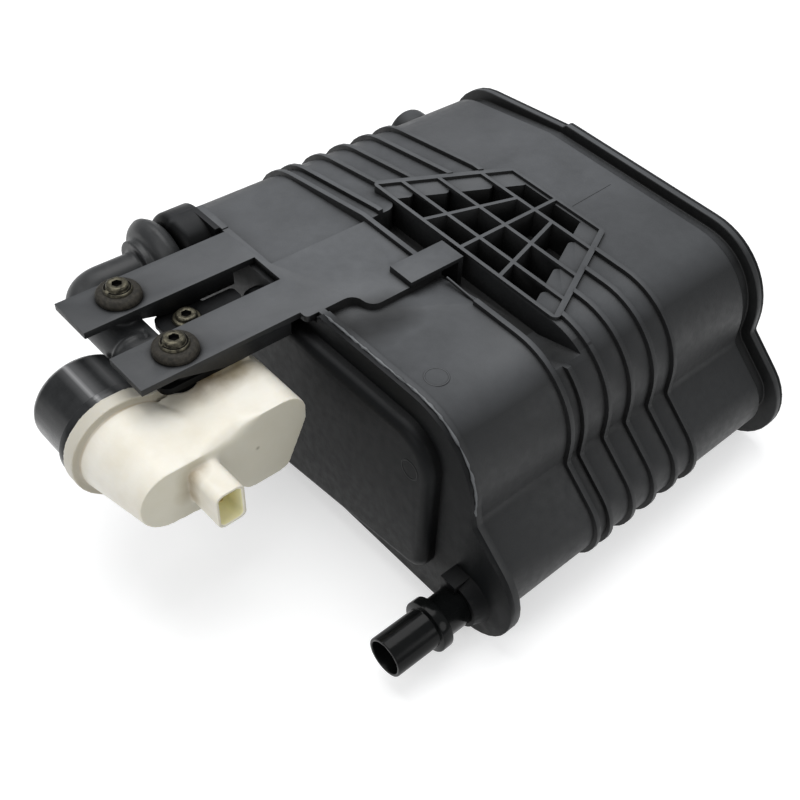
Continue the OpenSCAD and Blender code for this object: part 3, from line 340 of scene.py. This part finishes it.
# The purge spigot, the vent elbow and the filter cup are gloss black mouldings of unfilled nylon.
# The spigot's foot sits in the cap, and the elbow runs from the cap's port to the cup's inlet.
# Spigot and cup have rounded edges; the elbow is built anew on a grid, so that its corners run together.
def gloss_nylon(name, tone, dust_tone, rough, film_top, shine, painted_streaks=()):
    """Unfilled nylon from a polished mould: deep black, glossy, with an uneven film of dust on top and painted
    highlight streaks where given.
    """
    material, tree, shader = blank_material(name)
    place = add(tree, "ShaderNodeTexCoord").outputs["Object"]
    # 12 mm patches of dust and a 2 mm ripple of the moulded skin
    dust_film_and_side_shade = add(tree, "ShaderNodeTexNoise", {"Vector": place, "Scale": 85, "Detail": 6, "Roughness": 0.65})
    ripple = add(tree, "ShaderNodeTexNoise", {"Vector": place, "Scale": 500, "Detail": 2, "Roughness": 0.5})
    normal = add(tree, "ShaderNodeNewGeometry").outputs["Normal"]
    up = add(tree, "ShaderNodeSeparateXYZ", {"Vector": normal})
    facing = add(tree, "ShaderNodeMapRange", {"Value": up.outputs["Z"], "From Min": -0.2, "From Max": 0.9,
                                              "To Min": 0.1, "To Max": 1.0})
    film_step = add(tree, "ShaderNodeMapRange", {"Value": dust_film_and_side_shade.outputs["Fac"], "From Min": 0.3,
                                                 "From Max": 0.75, "To Min": 0.35 * film_top,
                                                 "To Max": film_top})
    amount = add(tree, "ShaderNodeMath", {0: facing.outputs["Result"], 1: film_step.outputs["Result"]},
                 operation="MULTIPLY")
    colour = add(tree, "ShaderNodeMix", {"Factor": amount.outputs["Value"], "A": linear(tone),
                                         "B": linear(dust_tone)}, data_type="RGBA")
    # painted highlights: pale streaks run along Y on the upper side, standing in for a lamp's reflection:
    # place in X and half width, in metres, and how pale
    axis = add(tree, "ShaderNodeSeparateXYZ", {"Vector": place})
    for centre, reach, depth in painted_streaks:
        away = add(tree, "ShaderNodeMath", {0: axis.outputs["X"], 1: centre}, operation="SUBTRACT")
        away = add(tree, "ShaderNodeMath", {0: away.outputs["Value"]}, operation="ABSOLUTE")
        fade = add(tree, "ShaderNodeMapRange", {"Value": away.outputs["Value"], "From Min": reach,
                                                "From Max": 0.0, "To Min": 0.0, "To Max": depth})
        fade = add(tree, "ShaderNodeMath", {0: fade.outputs["Result"], 1: facing.outputs["Result"]},
                   operation="MULTIPLY")
        colour = add(tree, "ShaderNodeMix", {"Factor": fade.outputs["Value"], "A": colour.outputs["Result"],
                                             "B": linear("#9a9a9b")}, data_type="RGBA")
    tree.links.new(colour.outputs["Result"], shader.inputs["Base Color"])
    gloss = add(tree, "ShaderNodeMapRange", {"Value": dust_film_and_side_shade.outputs["Fac"], "From Min": 0.3, "From Max": 0.7,
                                             "To Min": rough, "To Max": rough + 0.15})
    tree.links.new(gloss.outputs["Result"], shader.inputs["Roughness"])
    relief = add(tree, "ShaderNodeBump", {"Height": ripple.outputs["Fac"], "Strength": 0.06,
                                          "Distance": 0.0002})
    tree.links.new(relief.outputs["Normal"], shader.inputs["Normal"])
    shader.inputs["IOR"].default_value = nylon_ior
    shader.inputs["Specular IOR Level"].default_value = shine
    return material


def melted_look(node, name, grid, passes):
    """A copy of a solid built anew from a fine grid and relaxed, so that its corners run into each other."""
    look = bpy.data.objects.new(name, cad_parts[node].data.copy())
    scene.collection.objects.link(look)
    bpy.context.view_layer.objects.active = look
    fine = look.modifiers.new("fine_grid", "REMESH")
    fine.mode = "VOXEL"
    fine.voxel_size = grid
    bpy.ops.object.modifier_apply(modifier=fine.name)
    relaxed = look.modifiers.new("relaxed", "SMOOTH")
    relaxed.factor = 0.5
    relaxed.iterations = passes
    bpy.ops.object.modifier_apply(modifier=relaxed.name)
    look.data.polygons.foreach_set("use_smooth", [True] * len(look.data.polygons))
    return look


clean_gloss = gloss_nylon("clean_gloss_nylon", "#070808", "#3c3d3e", rough=0.1, film_top=0.08, shine=0.12)
dusty_gloss = gloss_nylon("dusty_gloss_nylon", "#121314", "#4c4d4e", rough=0.34, film_top=0.6, shine=0.3)
# painted highlights along the filter cup's length
cup_painted_streaks = ((-0.1284, 0.0013, 0.7), (-0.1275, 0.005, 0.3), (-0.1185, 0.003, 0.16))
deep_gloss = gloss_nylon("deep_gloss_nylon", "#0b0c0d", "#4a4b4c", rough=0.1, film_top=0.5, shine=0.1,
                         painted_streaks=cup_painted_streaks)
for node, skin in (("purge_spigot", clean_gloss), ("filter_cup", deep_gloss)):
    look = rounded_look(node, 0.0005, node + "_look")
    dress(look, "canister", "black_gloss", skin, node)
elbow_look = melted_look("vent_elbow", "vent_elbow_look", grid=0.0006, passes=6)
dress(elbow_look, "canister", "black_gloss", dusty_gloss, "vent_elbow")

# The carrier bracket is a flat moulding of the cap's nylon below the near arm, with a boss on it.
# The near grommet's screw passes through the boss, and the low screw clamps the bracket to the valve.
bracket_look = rounded_look("carrier_bracket", 0.0004, "bracket_moulding")
dress(bracket_look, "canister", "cap_nylon", cap_nylon, "carrier_bracket")


# The valve's body is moulded of ivory polymer, yellowed a little and stained by the road.
# Brown stains lie at the shoulder below the near arm and at the foot of the plug socket.
# It is built anew on a fine grid, and the valley between its barrel and its box is filled and smoothed.
def stained_ivory(name):
    """Natural polybutylene as moulded: warm ivory, satin, with brown stains that fade into it, and painted
    shade on some faces.
    """
    material, tree, shader = blank_material(name)
    place = add(tree, "ShaderNodeTexCoord").outputs["Object"]
    axis = add(tree, "ShaderNodeSeparateXYZ", {"Vector": place})
    # 17 mm clouds of yellowing, and the mould's fine grain, drawn at 0.9 mm so that it shows
    clouds = add(tree, "ShaderNodeTexNoise", {"Vector": place, "Scale": 60, "Detail": 5, "Roughness": 0.6})
    pebble = add(tree, "ShaderNodeTexNoise", {"Vector": place, "Scale": 1100, "Detail": 2, "Roughness": 0.5})
    tint = add(tree, "ShaderNodeMapRange", {"Value": clouds.outputs["Fac"], "From Min": 0.35,
                                            "From Max": 0.75, "To Min": 0.0, "To Max": 0.6})
    colour = add(tree, "ShaderNodeMix", {"Factor": tint.outputs["Result"], "A": linear("#ebe7dc"),
                                         "B": linear("#d9d1bc")}, data_type="RGBA").outputs["Result"]
    # place in metres, reach in metres, strength and tone of each stain and patch
    for spot, reach, depth, tone in (
        ((-0.090, 0.0125, 0.091), 0.019, 2.3, "#7c6a4c"),
        ((-0.078, 0.008, 0.091), 0.014, 1.8, "#86764f"),
        # a darker grey patch on the barrel's top below the bracket
        ((-0.108, 0.008, 0.088), 0.011, 1.2, "#948f80"),
        ((-0.1175, -0.0205, 0.079), 0.008, 2.4, "#94805c"),
        ((-0.120, -0.0205, 0.071), 0.007, 2.0, "#94805c"),
        ((-0.0893, -0.0205, 0.0738), 0.0012, 2.4, "#4a4030"),
    ):
        away = add(tree, "ShaderNodeVectorMath", {0: place, 1: spot}, operation="DISTANCE")
        fade = add(tree, "ShaderNodeMapRange", {"Value": away.outputs["Value"], "From Min": reach,
                                                "From Max": 0.0, "To Min": 0.0, "To Max": depth})
        ragged = add(tree, "ShaderNodeMath", {0: fade.outputs["Result"], 1: clouds.outputs["Fac"]},
                     operation="MULTIPLY")
        colour = add(tree, "ShaderNodeMix", {"Factor": ragged.outputs["Value"], "A": colour,
                                             "B": linear(tone)}, data_type="RGBA").outputs["Result"]
    # painted shade: the faces turned to −Y are mixed towards grey, where they lie in shade
    normal = add(tree, "ShaderNodeNewGeometry").outputs["Normal"]
    faces = add(tree, "ShaderNodeSeparateXYZ", {"Vector": normal})
    dust_film_and_side_shade = add(tree, "ShaderNodeMapRange", {"Value": faces.outputs["Y"], "From Min": -0.7, "From Max": -1.0,
                                            "To Min": 0.0, "To Max": 0.6})
    colour = add(tree, "ShaderNodeMix", {"Factor": dust_film_and_side_shade.outputs["Result"], "A": colour,
                                         "B": linear("#bcb8a4")}, data_type="RGBA").outputs["Result"]
    # brown dirt sits in the flange's corner, and the flange behind it is darkened grey as painted shade
    dirt_y, flange_y, flange_shade_share = 0.0129, 0.0131, 0.55
    off_corner = add(tree, "ShaderNodeMath", {0: axis.outputs["Y"], 1: dirt_y}, operation="SUBTRACT")
    off_corner = add(tree, "ShaderNodeMath", {0: off_corner.outputs["Value"]}, operation="ABSOLUTE")
    grime = add(tree, "ShaderNodeMapRange", {"Value": off_corner.outputs["Value"], "From Min": 0.0009,
                                             "From Max": 0.0002, "To Min": 0.0, "To Max": 1.2})
    grime = add(tree, "ShaderNodeMath", {0: grime.outputs["Result"], 1: clouds.outputs["Fac"]},
                operation="MULTIPLY")
    colour = add(tree, "ShaderNodeMix", {"Factor": grime.outputs["Value"], "A": colour,
                                         "B": linear("#9c8a6c")}, data_type="RGBA").outputs["Result"]
    painted_flange_shade = add(tree, "ShaderNodeMath", {0: axis.outputs["Y"], 1: flange_y}, operation="GREATER_THAN")
    painted_flange_shade = add(tree, "ShaderNodeMath", {0: painted_flange_shade.outputs["Value"], 1: flange_shade_share}, operation="MULTIPLY")
    colour = add(tree, "ShaderNodeMix", {"Factor": painted_flange_shade.outputs["Value"], "A": colour,
                                         "B": linear("#a39e90")}, data_type="RGBA").outputs["Result"]
    # the inside of the plug socket is coloured paler and yellower
    socket_inside = inside_box(tree, axis, (-0.1179, -0.0372, 0.0650), (-0.1082, -0.0238, 0.0806))
    colour = add(tree, "ShaderNodeMix", {"Factor": socket_inside, "A": colour, "B": linear("#f8f3cd")},
                 data_type="RGBA").outputs["Result"]
    tree.links.new(colour, shader.inputs["Base Color"])
    relief = add(tree, "ShaderNodeBump", {"Height": pebble.outputs["Fac"], "Strength": 0.12,
                                          "Distance": 0.0002})
    tree.links.new(relief.outputs["Normal"], shader.inputs["Normal"])
    shader.inputs["Roughness"].default_value = 0.42
    shader.inputs["IOR"].default_value = 1.52
    # light goes about 2 mm into the polymer, so thin walls such as the plug socket's glow a little
    shader.inputs["Subsurface Weight"].default_value = 0.25
    shader.inputs["Subsurface Radius"].default_value = (1.0, 0.85, 0.6)
    shader.inputs["Subsurface Scale"].default_value = 0.002
    return material


valve_look = melted_look("valve_body", "valve_moulding", grid=0.0005, passes=4)
# the smoothing of the valley is full to half its reach and fades out from there
valley, valley_reach = Vector((-0.1, -0.0125, 0.0885)), 0.016
soft = valve_look.vertex_groups.new(name="valley")
for vertex in valve_look.data.vertices:
    near = 1.0 - (vertex.co - valley).length / valley_reach
    if near > 0.0:
        soft.add([vertex.index], min(1.0, 2.0 * near), "REPLACE")
filled = valve_look.modifiers.new("filled_valley", "SMOOTH")
filled.vertex_group = soft.name
filled.factor = 0.5
filled.iterations = 300
bpy.context.view_layer.objects.active = valve_look
bpy.ops.object.modifier_apply(modifier=filled.name)
dress(valve_look, "canister", "valve_ivory", stained_ivory("satin_ivory_polymer"), "valve_body")


# The screws are steel with an olive passivated finish, dulled by dirt, and their sockets are coloured near
# black.
# Two of them clamp the grommets' sleeves, and the low one clamps the bracket.
def worn_steel(name, tone, dirt_tone, rough):
    """Turned or drawn steel with a thin finish, dirt in 2 mm patches and an uneven shine."""
    material, tree, shader = blank_material(name)
    place = add(tree, "ShaderNodeTexCoord").outputs["Object"]
    patches = add(tree, "ShaderNodeTexNoise", {"Vector": place, "Scale": 480, "Detail": 4, "Roughness": 0.6})
    step = add(tree, "ShaderNodeMapRange", {"Value": patches.outputs["Fac"], "From Min": 0.4,
                                            "From Max": 0.65})
    colour = add(tree, "ShaderNodeMix", {"Factor": step.outputs["Result"], "A": linear(tone),
                                         "B": linear(dirt_tone)}, data_type="RGBA")
    tree.links.new(colour.outputs["Result"], shader.inputs["Base Color"])
    shine = add(tree, "ShaderNodeMapRange", {"Value": patches.outputs["Fac"], "From Min": 0.35,
                                             "From Max": 0.7, "To Min": rough, "To Max": rough + 0.2})
    tree.links.new(shine.outputs["Result"], shader.inputs["Roughness"])
    shader.inputs["Metallic"].default_value = 0.85
    return material


socket_r, socket_depth, socket_rim = 0.00205, 0.0022, 0.0002
olive_steel = worn_steel("olive_passivated_steel", "#625e50", "#312f28", rough=0.34)
# a near-black colour for the faces inside the sockets
socket_black = worn_steel("near_black_socket", "#0d0c0a", "#14120f", rough=0.7)
for node in ("screw_near", "screw_far", "screw_low"):
    look = rounded_look(node, 0.00025, node + "_look")
    dress(look, "canister", "dark_steel", olive_steel, node)
    look.data.materials.append(socket_black)
    spots = [v.co for v in look.data.vertices]
    axis_x = (min(c.x for c in spots) + max(c.x for c in spots)) / 2
    axis_y = (min(c.y for c in spots) + max(c.y for c in spots)) / 2
    head_top = max(c.z for c in spots)
    for face in look.data.polygons:
        off_axis = math.hypot(face.center.x - axis_x, face.center.y - axis_y)
        if off_axis < socket_r and head_top - socket_depth < face.center.z < head_top - socket_rim:
            face.material_index = 1


# The grommets are moulded of brown rubber, matt with specks of pale dust.
# They sit in the arms, each on a steel sleeve that its screw clamps.
def dusty_rubber(name, tone, dust_tone):
    """Moulded rubber: matt, with 1.5 mm specks of pale dust in its skin."""
    material, tree, shader = blank_material(name)
    place = add(tree, "ShaderNodeTexCoord").outputs["Object"]
    specks = add(tree, "ShaderNodeTexNoise", {"Vector": place, "Scale": 650, "Detail": 4, "Roughness": 0.7})
    step = add(tree, "ShaderNodeMapRange", {"Value": specks.outputs["Fac"], "From Min": 0.4, "From Max": 0.7})
    colour = add(tree, "ShaderNodeMix", {"Factor": step.outputs["Result"], "A": linear(tone),
                                         "B": linear(dust_tone)}, data_type="RGBA")
    tree.links.new(colour.outputs["Result"], shader.inputs["Base Color"])
    relief = add(tree, "ShaderNodeBump", {"Height": specks.outputs["Fac"], "Strength": 0.3,
                                          "Distance": 0.0003})
    tree.links.new(relief.outputs["Normal"], shader.inputs["Normal"])
    shader.inputs["Roughness"].default_value = 0.6
    shader.inputs["Specular IOR Level"].default_value = 0.25
    return material


brown_rubber = dusty_rubber("brown_rubber", "#211f1a", "#39352e")
for node in ("grommet_near", "grommet_far"):
    look = rounded_look(node, 0.0005, node + "_look")
    dress(look, "canister", "rubber", brown_rubber, node)

# What lies inside keeps its solids: carbon beds, fleece, plates, springs, foam, seals and the solenoid.
# So do the plug's terminals and the sleeves in the grommets.
# Each gets the finish of its own material, because the model is also opened and looked into.
bright_steel = worn_steel("drawn_steel", "#b4b6b8", "#8b8d8f", rough=0.25)
black_rubber = dusty_rubber("black_rubber", "#202021", "#3a3a3a")
carbon_grains = dusty_rubber("carbon_pellets", "#151515", "#2c2c2d")
white_fleece = dusty_rubber("needled_fleece", "#cfccc2", "#e4e1d8")
filter_sponge = dusty_rubber("filter_sponge", "#5f5c46", "#807c62")
winding_wire = worn_steel("enamelled_copper", "#a5622c", "#7d4519", rough=0.3)
plain_brass = worn_steel("tinned_brass", "#c9b37a", "#a08a55", rough=0.28)
plate_nylon = moulded_nylon("satin_nylon_plate", "#4a4c4e", "#5b5d5f",
                            dust=0.4, rough=0.5, grain=0.2, shine=0.3)
finishes = {
    carbon_grains: ("carbon_near", "carbon_far"),
    white_fleece: ("fleece_near_front", "fleece_far_front", "fleece_near_rear", "fleece_far_rear"),
    plate_nylon: ("pressure_plate_near", "pressure_plate_far", "coil_bobbin"),
    bright_steel: ("spring_near", "spring_middle", "spring_far", "fixed_core", "plunger", "return_spring",
                   "sleeve_near", "sleeve_far"),
    black_rubber: ("seal_ring", "seal_disc"),
    filter_sponge: ("filter_foam",),
    winding_wire: ("coil_winding",),
    plain_brass: ("plug_terminal_upper", "plug_terminal_lower"),
}
for material, nodes in finishes.items():
    for node in nodes:
        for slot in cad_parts[node].material_slots:
            slot.material = material

# The floor is a plain pale sheet of matt paper that takes the part's shadow.
# Only for the camera and in reflections it is lifted to white, so it throws no more light on the part.
half_side = 4.0
floor_mesh = bpy.data.meshes.new("floor")
floor_mesh.from_pydata([(-half_side, -half_side, 0), (half_side, -half_side, 0),
                        (half_side, half_side, 0), (-half_side, half_side, 0)], [], [(0, 1, 2, 3)])
floor = bpy.data.objects.new("floor", floor_mesh)
scene.collection.objects.link(floor)
paper = bpy.data.materials.new("white_paper")
paper.use_nodes = True
tree = paper.node_tree
tree.nodes.clear()
matt = add(tree, "ShaderNodeBsdfDiffuse", {"Color": linear("#d9d9d9")})
ray = add(tree, "ShaderNodeLightPath")
lifted = ray.outputs["Is Camera Ray"]
for kind in ("Is Transmission Ray", "Is Glossy Ray"):
    lifted = add(tree, "ShaderNodeMath", {0: lifted, 1: ray.outputs[kind]},
                 operation="MAXIMUM").outputs["Value"]
lift = add(tree, "ShaderNodeEmission", {"Color": linear("#ffffff"), "Strength": 0.5})
none = add(tree, "ShaderNodeEmission", {"Color": linear("#000000"), "Strength": 0.0})
glow = add(tree, "ShaderNodeMixShader", {0: lifted, 1: none.outputs[0], 2: lift.outputs[0]})
both = add(tree, "ShaderNodeAddShader", {0: matt.outputs[0], 1: glow.outputs[0]})
add(tree, "ShaderNodeOutputMaterial", {"Surface": both.outputs[0]})
floor_mesh.materials.append(paper)

# Studio light: a broad soft lamp above, weaker ones from the camera's left and right, a small one behind
# that is aimed at the filter cup, and an even pale room.
world = bpy.data.worlds.new("pale_room")
scene.world = world
world.use_nodes = True
room = world.node_tree.nodes["Background"]
room.inputs["Color"].default_value = linear("#f4f6f8")
room.inputs["Strength"].default_value = 0.5
part_middle = (0, 0, 0.05)
for name, place, aim, width, power in (
    ("lamp_above", (0.15, 0.35, 1.5), part_middle, 1.3, 13),
    ("lamp_left", (-1.2, -0.3, 0.9), part_middle, 0.8, 4),
    ("lamp_right", (0.35, -1.4, 0.75), part_middle, 0.9, 4.2),
    ("lamp_behind", (-0.2, 0.86, 0.98), (-0.128, 0.035, 0.09), 0.2, 0.9),
):
    lamp_data = bpy.data.lights.new(name, "AREA")
    lamp_data.shape = "DISK"
    lamp_data.size = width
    lamp_data.energy = power
    lamp = bpy.data.objects.new(name, lamp_data)
    scene.collection.objects.link(lamp)
    lamp.location = place
    lamp.rotation_euler = (Vector(aim) - Vector(place)).to_track_quat("-Z", "Y").to_euler()
